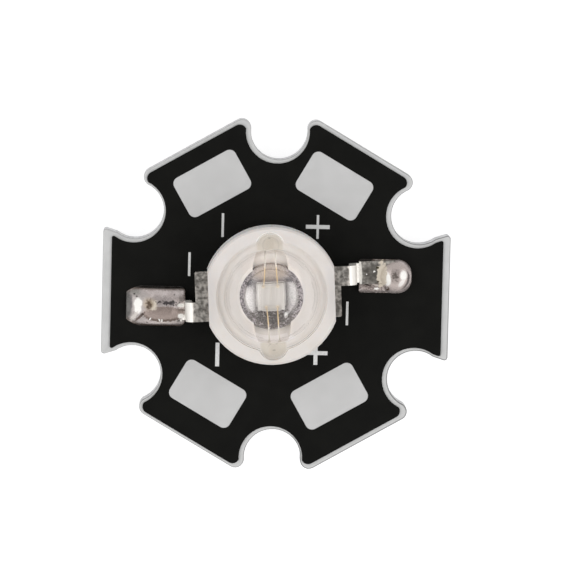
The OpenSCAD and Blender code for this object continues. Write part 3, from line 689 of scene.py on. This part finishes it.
@dataclass
class Emitter:
    """The LED package: slug, housing, leads, die, wires and lens.

    Heights are above the seat on the board, and places are in the package's own
    frame, whose X runs along the leads.
    """

    turn: float = 3.35
    slug_y: float = -0.06
    slug_waist: tuple[Pair, ...] = (
        (0.0, 0.0), (2.9, 0.0), (2.9, 0.7), (2.3, 0.7), (2.3, 1.0), (2.6, 1.0), (2.6, 1.3))
    pillar_r: float = 1.15
    cup_rim: float = 2.2
    cup_r: float = 1.0
    cup_floor: float = 1.75
    dish_r: Pair = (0.403, 0.84)
    dish_rise: float = 0.4855
    dome_r: float = 2.8
    flange_r: float = 3.15
    flange_t: float = 0.4
    seat_floor: float = 2.9
    reflector_r: float = 2.5
    reflector_foot_r: float = 1.25
    ear_r: float = 0.82
    ear_reach: float = 2.82
    ear_hole_r: float = 0.34
    ear_hole_reach: float = 3.06
    window: Point = (1.3, 4.2, 0.9)
    lead_top: float = 2.0
    lead_rounding: float = 0.05
    lead_corner: float = 40.0
    bend: Point = (4.93, 0.89, 1.2)
    edge: float = 0.05
    overlap: float = 0.01
    seat: float = field(init=False)
    place: Matrix = field(init=False)

    def __post_init__(self) -> None:
        """Reads the package's seat and middle from the frame."""
        low, high = node_box("lens")
        self.seat = node_box("thermal_adhesive")[1].z
        middle = (low + high) / 2
        self.place = (Matrix.Translation((middle.x, middle.y, self.seat))
                      @ Matrix.Rotation(math.radians(self.turn), 4, "Z"))

    def build(self) -> None:
        """Builds and dresses the package."""
        self.build_slug()
        dress_nodes(Resin(patches=self.tints_and_painted_light()), "housing")
        dress_nodes(GLUE, "die_attach")
        lit_edge = Patch(self.at(-0.52, self.slug_y, self.cup_floor), (0.12, 0.48, 0.6),
                         (0.84, 0.82, 0.79), turn=self.turn)
        dress_nodes(Chip(patches=(lit_edge,)), "led_die")
        dress_nodes(CONTACT, "die_contacts")
        middle = self.at(0, self.slug_y, self.cup_rim)
        tones = (Patch(middle, (1.2, 1.2, 2.0), GOLD, soft=0.15, metal=0.5),
                 Patch(middle, (0.62, 0.62, 2.0), (0.7, 0.61, 0.5), soft=0.3, metal=0.2))
        dress_nodes(replace(WIRE, patches=tones), "bond_wire")
        # Leads: flash and painted light in the windows, painted glints and highlights, flux
        # crust.
        silver = replace(LEAD_SILVER, patches=(
            *self.flash_and_painted_light(), *FOOT_TONE_AND_PAINTED_GLINTS, *self.painted_bend_highlights(), *PLUS_CRUST))
        self.build_lead("cathode_lead", silver)
        self.build_lead("anode_lead", silver)
        self.build_lens()

    def at(self, x: float, y: float, z: float) -> Point:
        """Gives a place of the package in the frame's millimetres."""
        return tuple(self.place @ Vector((x, y, z)))

    def tints_and_painted_light(self) -> tuple[Patch, ...]:
        """Gives tones of the housing's wall and top, mostly painted light and shade."""
        deep = 1.5

        def tone(x: float, y: float, along: float, across: float, colour: Colour,
                 soft: float, share: float = 0.8) -> Patch:
            """Gives one tone, at a place and with a reach of the package's own."""
            return Patch(self.at(x, y, self.seat_floor), (along, across, deep), colour,
                         soft=soft, share=share, turn=self.turn)

        # Painted shade at the left and right of the housing's top.
        sides = (tone(side * 3.7, 0, 1.1, 2.8, (0.62, 0.59, 0.57), 0.8, 0.9)
                 for side in (-1, 1))
        # Painted light that lifts the shade of the outer wall on the far side.
        wall = Patch(self.at(0, 4.0, 1.5), (5.5, 4.2, 1.62), (0.95, 0.93, 0.91), soft=0.06)
        # Painted shade in rings on the top under the lens, and painted light on its front side.
        rings = (tone(0, 0, 3.3, 3.3, (0.72, 0.675, 0.64), 0.06, 1.0),
                 tone(0, 0, 2.9, 2.9, (0.62, 0.58, 0.55), 0.1, 0.9),
                 tone(0, 0.4, 2.7, 2.7, (0.56, 0.52, 0.495), 0.4),
                 tone(0, -2.0, 1.8, 1.0, (0.9, 0.86, 0.86), 0.9, 0.95))
        # Painted shade on the reflector's left and right flanks.
        flanks = (tone(side * 2.2, 0, 0.95, 1.9, (0.48, 0.445, 0.42), 0.9)
                  for side in (-1, 1))
        # Painted shade at four corners round the cup.
        corners = (tone(x * 0.87, y * 1.1, 0.4, 0.8, (0.6, 0.55, 0.52), 0.6, 0.9)
                   for x in (-1, 1) for y in (-1, 1))
        ears = (tone(0, side * self.ear_reach, self.ear_r, self.ear_r,
                     (0.595, 0.545, 0.48), 0.2, 0.9) for side in (-1, 1))
        # Painted shade round the upper ear hole, and painted shadows at the edges of both holes.
        holes = (tone(0.05, 2.91, 0.52, 0.52, (0.5, 0.455, 0.4), 0.12, 0.7),
                 tone(0.05, 2.89, 0.45, 0.47, (0.6, 0.55, 0.485), 0.15, 0.9),
                 tone(-0.02, 3.31, 0.1, 0.05, (0.3, 0.275, 0.24), 0.8),
                 tone(0.03, -3.135, 0.14, 0.05, (0.3, 0.27, 0.235), 0.8))
        # Painted light on the window walls, in the pale tone over the leads, lifts their shade.
        window = replace(next(self.flash_and_painted_light()), reach=(1.2, 2.4, deep), soft=0.2)
        return (wall, *sides, *rings, *flanks, *ears, *holes, window, *corners)

    def flash_and_painted_light(self) -> Iterator[Patch]:
        """Gives moulding flash and painted light over the leads and round the reflector's gaps.
        """
        # Both are pale and lighter than the housing: painted light that lifts the shade in the
        # windows.
        for y, reach, colour in ((0.0, 3.0, (0.79, 0.72, 0.665)),
                                 (-2.2, 1.3, (0.88, 0.82, 0.79))):
            yield Patch(self.at(0, y, self.lead_top), (reach, reach, 1.0), colour,
                        soft=0.05, metal=0.0)

    def painted_bend_highlights(self) -> Iterator[Patch]:
        """Gives painted highlights on the stretches where the leads bend down to the board."""
        x, y, z = self.bend
        for side in (-1, 1):
            yield Patch(self.at(side * x, side * y, z), (0.48, 1.8, 1.8), (0.92, 0.885, 0.83),
                        soft=0.12, metal=0.25, turn=self.turn)

    def bowl(self, drop: float = 0.0) -> list[Pair]:
        """Gives half the section of the cup: a steep wall round a shallow dish.

        Args:
            drop: How far the section lies below the cup's own surface.

        Returns:
            Points as (radius, height), from the rim to the middle.
        """
        inner, outer = self.dish_r
        steps = 10
        radii = [outer - (outer - inner) * i / steps for i in range(steps + 1)]
        dish = [(r, self.cup_floor + self.dish_rise * (r - inner) ** 2 - drop)
                for r in radii]
        return [(self.cup_r + drop, self.cup_rim - drop), *dish,
                (0.0, self.cup_floor - drop)]

    def build_slug(self) -> None:
        """Turns the slug, with its waist, its pillar and the pressed cup."""
        outline = [*self.slug_waist, (self.pillar_r, self.slug_waist[-1][1]),
                   (self.pillar_r, self.cup_rim), *self.bowl()]
        slug = Model.turned("turned_slug", outline)
        slug.dress(replace(CUP_SILVER, patches=tuple(self.cup_tones_and_painted_reflections())), "slug_silver",
                   "heat_slug", smooth=30,
                   place=self.place @ Matrix.Translation((0, self.slug_y, 0)))

    def cup_tones_and_painted_reflections(self) -> Iterator[Patch]:
        """Gives the cup's tones: its dish, then painted reflections, shade and glints."""
        # The dish's tone, then painted reflections, painted highlights beside the die and a
        # glint.
        for x, y, along, across, colour, soft, ragged in (
                (0.0, 0.0, 0.99, 0.99, (0.385, 0.35, 0.35), 0.06, 0.0),
                (0.0, 0.85, 0.85, 0.5, (0.515, 0.435, 0.38), 0.5, 0.0),
                (0.0, -0.9, 1.0, 0.42, (0.15, 0.13, 0.12), 0.3, 0.8),
                (-0.7, 0.42, 0.24, 0.2, (0.05, 0.04, 0.045), 0.8, 0.2),
                (0.62, 0.47, 0.22, 0.15, (0.09, 0.075, 0.08), 0.8, 0.2),
                (-0.66, -0.15, 0.38, 0.5, (0.64, 0.61, 0.6), 0.6, 0.0),
                (0.69, 0.0, 0.34, 0.48, (0.47, 0.45, 0.44), 0.8, 0.0),
                (0.47, -0.7, 0.09, 0.14, (0.85, 0.83, 0.82), 0.5, 0.0)):
            yield Patch(self.at(x, y + self.slug_y, self.cup_floor), (along, across, 1.5),
                        colour, soft=soft, ragged=ragged, grain=0.07, metal=0.25,
                        turn=self.turn)

    def build_lead(self, node: str, finish: Metal) -> None:
        """Makes a lead anew with the rounded edges of plated metal."""
        model = Model.copy_of(node, f"{node}_rounded")
        model.modify("BEVEL", width=self.lead_rounding, segments=2,
                     limit_method="ANGLE", angle_limit=math.radians(self.lead_corner))
        model.dress(finish, "lead_silver", node, smooth=20)

    def lens_outline(self) -> list[Pair]:
        """Gives half the section of the lens and its filling.

        Returns:
            Points as (radius, height), from the dome's top to the cup's rim.
        """
        top = node_box("lens")[1].z - self.seat
        mid = top - self.dome_r
        ledge = self.seat_floor + self.flange_t
        foot = math.asin((ledge - mid) / self.dome_r)
        steps = 40
        dome = [(self.dome_r * math.cos(a), mid + self.dome_r * math.sin(a))
                for a in (math.pi / 2 + (foot - math.pi / 2) * i / steps
                          for i in range(steps + 1))]
        rim = [(self.flange_r - self.edge, ledge), (self.flange_r, ledge - self.edge),
               (self.flange_r, self.seat_floor + self.edge),
               (self.flange_r - self.edge, self.seat_floor - self.overlap)]
        mouth = [(self.reflector_r + self.overlap, self.seat_floor - self.overlap),
                 (self.reflector_foot_r + self.overlap, self.cup_rim - self.overlap)]
        return [*dome, *rim, *mouth, (0.0, self.cup_rim - self.overlap)]

    def cup_gel(self) -> Model:
        """Turns the gel that fills the cup, which sits beside the lens's axis."""
        above = self.cup_rim + self.overlap
        gel = Model.turned("cup_gel", [(0.0, above), (self.cup_r + self.overlap, above),
                                       *self.bowl(self.overlap)])
        gel.obj.data.transform(Matrix.Translation((0, self.slug_y, 0)))
        return gel

    def build_lens(self) -> None:
        """Builds the clear lens and the gel in it as one clear piece."""
        lens = Model.turned("clear_lens", self.lens_outline())
        wide, long, high = self.window
        gel = Model.primitive("gel", bpy.ops.mesh.primitive_cube_add,
                              (0, 0, self.lead_top + high / 2), size=1,
                              scale=(wide, long, high + self.overlap))
        top = self.cup_rim - self.overlap
        gel.combine(Model.bar("pillar", self.pillar_r, top, (0, self.slug_y, top / 2),
                              sides=96), Cut.TAKE)
        lens.combine(gel, Cut.ADD)
        lens.combine(self.cup_gel(), Cut.ADD)
        for side in (-1, 1):
            ear = Model.bar("ear", self.ear_r, self.flange_t + self.overlap,
                            (0, side * self.ear_reach,
                             self.seat_floor + (self.flange_t - self.overlap) / 2))
            ear.bevel_edges(lambda a, b: abs(a.z - b.z) < self.overlap, self.edge, 2)
            lens.combine(ear, Cut.ADD)
            lens.combine(Model.bar("hole", self.ear_hole_r, 2 * self.flange_t,
                                   (0, side * self.ear_hole_reach,
                                    self.seat_floor + self.flange_t)), Cut.TAKE)
        lens.heal()
        lens.dress(ClearResin(), "lens_clear", "lens", "silicone_gel", place=self.place,
                   smooth=30)


@dataclass(frozen=True)
class Dent:
    """An ellipsoid that is taken out of solder before its skin flows smooth."""

    centre: Point
    radii: Point
    turn: float = 0.0


@dataclass
class SolderJoint:
    """Solder on one lead's foot: its solid with a flowed skin, on its sharp-edged foot."""

    side: str
    finish: Solder
    dents: tuple[Dent, ...] = ()
    voxel: float = 0.03
    flow: int = 4
    wrinkle: float = 0.35
    wrinkle_depth: float = 0.02
    foot_h: float = 0.09

    def build(self) -> None:
        """Builds and dresses the joint."""
        node = f"solder_joint_{self.side}"
        model = Model.copy_of(node, self.finish.name)
        for dent in self.dents:
            model.combine(Model.primitive(
                "dent", bpy.ops.mesh.primitive_uv_sphere_add, dent.centre, segments=48,
                ring_count=24, radius=1, scale=dent.radii,
                rotation=(0, 0, math.radians(dent.turn))), Cut.TAKE)
        model.melt(self.voxel, self.flow)
        model.sink(self.wrinkle, self.wrinkle_depth)
        low, high = node_box(node)
        size, middle = high - low, (low + high) / 2
        foot = Model.copy_of(node, "foot")
        foot.combine(Model.primitive(
            "slab", bpy.ops.mesh.primitive_cube_add, (middle.x, middle.y, low.z), size=1,
            scale=(2 * size.x, 2 * size.y, 2 * self.foot_h)), Cut.KEEP)
        model.join(foot)
        model.dress(self.finish, "solder_metal", node, smooth=60)


BROWN: Colour = (0.075, 0.045, 0.028)
CREAM: Colour = (0.66, 0.585, 0.485)
# Near black of painted shade in pits and in a crease.
PIT_AND_CREASE_SHADE: Colour = (0.03, 0.024, 0.02)
CHAR: Colour = (0.012, 0.009, 0.007)
# White of the painted glints.
PAINTED_GLINT_WHITE: Colour = (0.95, 0.93, 0.89)


def spot(x: float, y: float, z: float, along: float, across: float, colour: Colour,
         metal: float | None = 0.1, deep: float = 1.2, **look: float) -> Patch:
    """Gives a patch on a lead's foot or its solder, with its reach along X, Y and Z."""
    return Patch((x, y, z), (along, across, deep), colour, metal=metal, **look)


def painted_glint(x: float, y: float, z: float, along: float, across: float, **look: float) -> Patch:
    """Gives a painted white glint, a painted highlight on the solder or the foot beside it."""
    return spot(x, y, z, along, across, PAINTED_GLINT_WHITE, 0.0, **look)


# Minus joint: burnt flux and tones, with painted highlights, reflections and shade.
MINUS_FLUX_AND_PAINTED_LIGHT = (
    # The tip: its cap greyed by a painted reflection, painted shade at its end and in its
    # crease, and its back.
    spot(-8.0, -0.75, 2.2, 0.95, 1.3, (0.4, 0.36, 0.345), 0.25),
    spot(-8.62, -0.7, 2.0, 0.4, 1.2, (0.11, 0.105, 0.098), 0.15),
    spot(-8.36, -0.6, 2.2, 0.09, 0.55, (0.09, 0.075, 0.078), soft=0.8, ragged=0.3,
         share=0.9),
    spot(-8.15, 0.05, 2.2, 0.4, 0.22, (0.31, 0.29, 0.27), 0.3),
    # The facet in front, painted as shade, from its dark outline to a painted highlight on its
    # lower edge.
    spot(-6.5, -1.22, 2.3, 1.3, 0.47, (0.13, 0.09, 0.07), 0.2, soft=0.2, ragged=0.12),
    spot(-6.5, -1.1, 2.3, 1.28, 0.44, (0.3, 0.238, 0.212), 0.3, soft=0.2, ragged=0.08),
    spot(-6.4, -1.68, 2.0, 1.15, 0.07, (0.62, 0.55, 0.51), soft=0.8),
    # Burnt flux in a pale ring on the flat top.
    spot(-7.3, -0.58, 2.45, 0.55, 0.5, (0.44, 0.36, 0.28), 0.2, soft=0.7),
    spot(-7.1, -0.66, 2.45, 0.3, 0.36, (0.74, 0.66, 0.55), ragged=0.25, grain=0.15,
         share=0.85),
    spot(-7.25, -0.6, 2.45, 0.27, 0.32, (0.36, 0.285, 0.21), soft=0.7),
    spot(-7.35, -0.6, 2.45, 0.22, 0.34, (0.1, 0.065, 0.04), soft=0.7, ragged=0.4,
         grain=0.15),
    # Painted highlights on the fold between the top and the tip, a painted highlight streaking
    # to the corner before it, and painted shade in the crease there.
    painted_glint(-7.98, -0.6, 2.4, 0.3, 0.38, soft=0.4, ragged=0.1, grain=0.3),
    painted_glint(-7.97, -0.85, 2.4, 0.25, 0.4, soft=0.4, ragged=0.1, grain=0.3),
    spot(-8.2, -1.38, 2.1, 0.15, 0.5, (0.66, 0.61, 0.57), turn=-36.0, ragged=0.25,
         grain=0.06),
    spot(-7.88, -1.4, 2.1, 0.09, 0.55, (0.12, 0.085, 0.07), turn=-45.0, ragged=0.3),
    # Painted shade in the groove over the foot and between the folds beside the bend, and
    # painted highlights on those folds.
    spot(-6.12, -0.5, 2.5, 0.68, 0.16, (0.035, 0.028, 0.03), 0.2, ragged=0.6, share=0.95),
    spot(-5.42, -0.92, 2.3, 0.28, 0.11, (0.2, 0.165, 0.145), None, ragged=0.2),
    painted_glint(-5.46, -0.64, 2.3, 0.27, 0.16, ragged=0.15),
    painted_glint(-5.46, -1.28, 2.2, 0.25, 0.2, ragged=0.15),
    # Small painted glints along the facet's lower edge.
    painted_glint(-7.25, -1.47, 2.1, 0.05, 0.12, turn=-35.0),
    painted_glint(-6.72, -1.53, 2.1, 0.05, 0.12, turn=25.0),
    painted_glint(-6.57, -1.56, 2.1, 0.045, 0.13),
    # Painted shade on the back slope by the bend, a dull strip along the back, its pits, dark
    # with painted shade, and the burnt flux round the foot.
    spot(-5.2, 0.0, 2.0, 0.22, 0.3, (0.11, 0.08, 0.065), None, soft=0.8),
    spot(-6.9, 0.42, 1.9, 6.0, 0.3, (0.15, 0.11, 0.09), deep=1.5, ragged=0.12, share=0.85),
    spot(-8.2, -0.06, 2.1, 0.07, 0.065, PIT_AND_CREASE_SHADE),
    spot(-8.05, -0.19, 2.2, 0.065, 0.055, PIT_AND_CREASE_SHADE),
    spot(-5.88, -0.05, 2.2, 0.055, 0.055, PIT_AND_CREASE_SHADE, share=0.8),
    spot(-6.9, 0.6, 1.9, 6.0, 0.36, CHAR, 0.0, 1.5, soft=0.15),
    spot(-6.9, -2.13, 1.8, 6.0, 0.37, (0.05, 0.036, 0.03), 0.0, 1.5, soft=0.15))

# The plus foot's darker tone, with two painted glints.
FOOT_TONE_AND_PAINTED_GLINTS = (
    spot(5.5, 1.4, 2.05, 0.6, 0.75, (0.19, 0.175, 0.155), None, 0.5, share=0.8),
    painted_glint(5.65, 1.53, 2.05, 0.08, 0.07, deep=0.5, ragged=0.3, grain=0.05),
    painted_glint(5.21, 1.36, 2.05, 0.05, 0.05, deep=0.5))

PLUS_CRUST = (
    spot(6.09, 1.34, 2.1, 0.29, 0.86, CREAM, 0.0, 1.0, soft=0.25, ragged=0.3, grain=0.25),
    spot(5.84, 1.76, 2.1, 0.1, 0.09, (0.07, 0.06, 0.03), None, 1.0, ragged=0.4),
    spot(5.87, 0.94, 2.1, 0.09, 0.07, (0.07, 0.05, 0.03), None, 1.0, ragged=0.4))

# Plus joint: flux and tones, with painted highlights and painted shade.
PLUS_FLUX_AND_PAINTED_LIGHT = (
    # The ball: painted shade round its outline, its pale body, painted shade on its top and
    # three painted highlights.
    spot(6.9, 1.2, 2.1, 0.84, 0.76, (0.09, 0.075, 0.07), 0.2, soft=0.08, ragged=0.03),
    spot(6.84, 1.3, 2.1, 0.8, 0.92, (0.46, 0.395, 0.37), 0.35, soft=0.12),
    spot(6.86, 1.33, 2.5, 0.27, 0.36, (0.15, 0.125, 0.11), 0.2, soft=0.9, ragged=0.6),
    painted_glint(7.33, 1.36, 2.3, 0.26, 0.36),
    spot(7.24, 0.92, 2.3, 0.17, 0.36, (0.82, 0.78, 0.75), 0.0, turn=-35.0, soft=0.6),
    painted_glint(6.4, 1.13, 2.4, 0.25, 0.49, soft=0.4, turn=8.0),
    # The lobe in front of the foot, wrinkled and dark, with painted shade in the crease above
    # it, a painted highlight along it and one painted glint.
    spot(5.6, 0.62, 1.9, 0.95, 0.28, (0.4, 0.335, 0.31), 0.2),
    spot(5.45, 0.6, 1.9, 0.85, 0.24, (0.13, 0.095, 0.085), soft=0.8, ragged=1.1,
         grain=0.08, share=0.8),
    spot(5.285, 0.735, 1.9, 0.33, 0.05, PIT_AND_CREASE_SHADE, None, ragged=0.3, turn=-14.0),
    spot(5.78, 0.73, 1.9, 0.32, 0.06, (0.62, 0.56, 0.52), turn=-15.0),
    painted_glint(5.81, 0.53, 1.9, 0.2, 0.09, ragged=0.15),
    spot(6.47, 0.53, 2.0, 0.15, 0.11, BROWN, ragged=0.5),
    # The pale crust of flux beside the ball, and burnt flux behind the foot.
    *PLUS_CRUST,
    spot(5.63, 2.06, 1.9, 0.22, 0.06, (0.1, 0.07, 0.08), None),
    spot(5.2, 2.25, 1.9, 0.5, 0.3, CHAR, 0.0, soft=0.2, turn=20.0))

MINUS_JOINT = SolderJoint(
    "minus",
    Solder("solder_minus", (0.58, 0.515, 0.5), (0.47, 0.41, 0.395), patches=MINUS_FLUX_AND_PAINTED_LIGHT),
    dents=(Dent((-6.24, -0.5, 2.56), (0.55, 0.07, 0.1)),
           Dent((-7.88, -1.4, 2.25), (0.06, 0.45, 0.12), turn=-45.0)))
PLUS_JOINT = SolderJoint(
    "plus", Solder("solder_plus", flux_height=(1.6, 1.75), patches=PLUS_FLUX_AND_PAINTED_LIGHT))


@dataclass(frozen=True)
class Lamp:
    """A soft rectangular lamp, turned to the object."""

    name: str
    azimuth: float
    level: float
    lift: float = 45.0
    reach: float = 0.25
    size: Pair = (0.34, 0.17)

    def build(self) -> None:
        """Hangs the lamp on its side of the object."""
        a, e = math.radians(self.azimuth), math.radians(self.lift)
        back = Vector((math.cos(a) * math.cos(e), math.sin(a) * math.cos(e), math.sin(e)))
        data = bpy.data.lights.new(self.name, "AREA")
        data.shape = "RECTANGLE"
        data.size, data.size_y = self.size
        data.energy = self.level * math.pi * self.size[0] * self.size[1]
        lamp = bpy.data.objects.new(self.name, data)
        lamp.location = back * self.reach
        lamp.rotation_euler = back.to_track_quat("Z", "Y").to_euler()
        bpy.context.scene.collection.objects.link(lamp)


@dataclass
class Studio:
    """Plain studio: white floor, soft lamps, a grey ceiling and the camera."""

    floor_side: float = 1.2
    floor_drop: float = 0.00001
    floor_glow: float = 0.8
    lamps: tuple[Lamp, ...] = (Lamp("right", 0, 1.55), Lamp("left", 180, 1.55),
                               Lamp("front", 270, 0.55))
    ambient: float = 0.48
    ceiling_level: float = 0.33
    ceiling_z: float = 0.34
    ceiling_r: float = 0.4
    distance: float = 0.25
    lens_mm: float = 272.4
    lean_x: float = -1.7
    lean_y: float = 5.5
    roll: float = 1.35
    frame_px: float = 570.0
    px_per_mm: float = 17.25
    board_px: Pair = (275.85, 295.05)
    board_top: float = 1.6
    near_clip: float = 0.01

    def build(self) -> None:
        """Builds the studio."""
        self.build_floor()
        self.build_world()
        self.build_ceiling()
        for lamp in self.lamps:
            lamp.build()
        self.build_camera()

    def build_floor(self) -> None:
        """Lays a white floor that keeps the object's shadow."""
        deselect()
        bpy.ops.mesh.primitive_plane_add(size=self.floor_side, location=(0, 0, -self.floor_drop))
        floor = bpy.context.object
        floor.name = "floor"
        shader = Shader("floor_white")
        glow = shader.calculate("MULTIPLY", shader.seen_directly(), self.floor_glow)
        shader.set(Base_Color=(0.35, 0.35, 0.35), Roughness=0.9, Specular_IOR_Level=0.1,
                   Emission_Color=FULL_WHITE, Emission_Strength=glow)
        floor.data.materials.append(shader.material)

    def build_world(self) -> None:
        """Fills the room with even light, which looks white where it is seen."""
        world = bpy.data.worlds.new("room")
        bpy.context.scene.world = world
        world.use_nodes = True
        tree = Tree(world.node_tree)
        back = tree.nodes["Background"].inputs
        tree.put(back["Color"], FULL_WHITE)
        tree.put(back["Strength"], tree.mixed(tree.seen_directly(), self.ambient, 1.0))

    def build_ceiling(self) -> None:
        """Hangs a grey card that only reflections see."""
        deselect()
        bpy.ops.mesh.primitive_circle_add(vertices=64, radius=self.ceiling_r,
                                          fill_type="NGON", location=(0, 0, self.ceiling_z))
        card = bpy.context.object
        card.name = "ceiling"
        card.visible_camera = card.visible_diffuse = card.visible_shadow = False
        material = bpy.data.materials.new("ceiling_grey")
        material.use_nodes = True
        material.cycles.emission_sampling = "NONE"
        tree = Tree(material.node_tree)
        tree.nodes.clear()
        glow = tree.node("Emission", 0, {"Color": FULL_WHITE,
                                         "Strength": self.ceiling_level})
        output = tree.nodes.new("ShaderNodeOutputMaterial")
        tree.put(output.inputs["Surface"], glow)
        card.data.materials.append(material)

    def build_camera(self) -> None:
        """Sets the camera where the photograph was taken from."""
        back = Vector((math.tan(math.radians(self.lean_x)),
                       math.tan(math.radians(self.lean_y)), 1)).normalized()
        up = (Vector((0, 1, 0)) - back * back.y).normalized()
        turn = (Matrix((up.cross(back), up, back)).transposed()
                @ Matrix.Rotation(math.radians(self.roll), 3, "Z"))
        half, pixel = self.frame_px / 2, MM / self.px_per_mm
        offset = Vector(((half - self.board_px[0]) * pixel,
                         (self.board_px[1] - half) * pixel, self.distance))
        board = Vector((0, 0, self.board_top * MM))
        data = bpy.data.cameras.new("camera")
        data.lens = self.lens_mm
        data.clip_start = self.near_clip
        camera = bpy.data.objects.new("camera", data)
        camera.matrix_world = Matrix.Translation(board + turn @ offset) @ turn.to_4x4()
        bpy.context.scene.collection.objects.link(camera)
        bpy.context.scene.camera = camera
        bpy.context.scene.view_settings.view_transform = "Standard"


def main() -> None:
    """Builds the object and its studio."""
    logging.basicConfig(level=logging.INFO, format="%(name)s: %(message)s")
    StarBoard().build()
    Emitter().build()
    MINUS_JOINT.build()
    PLUS_JOINT.build()
    Studio().build()


if __name__ == "__main__":
    main()
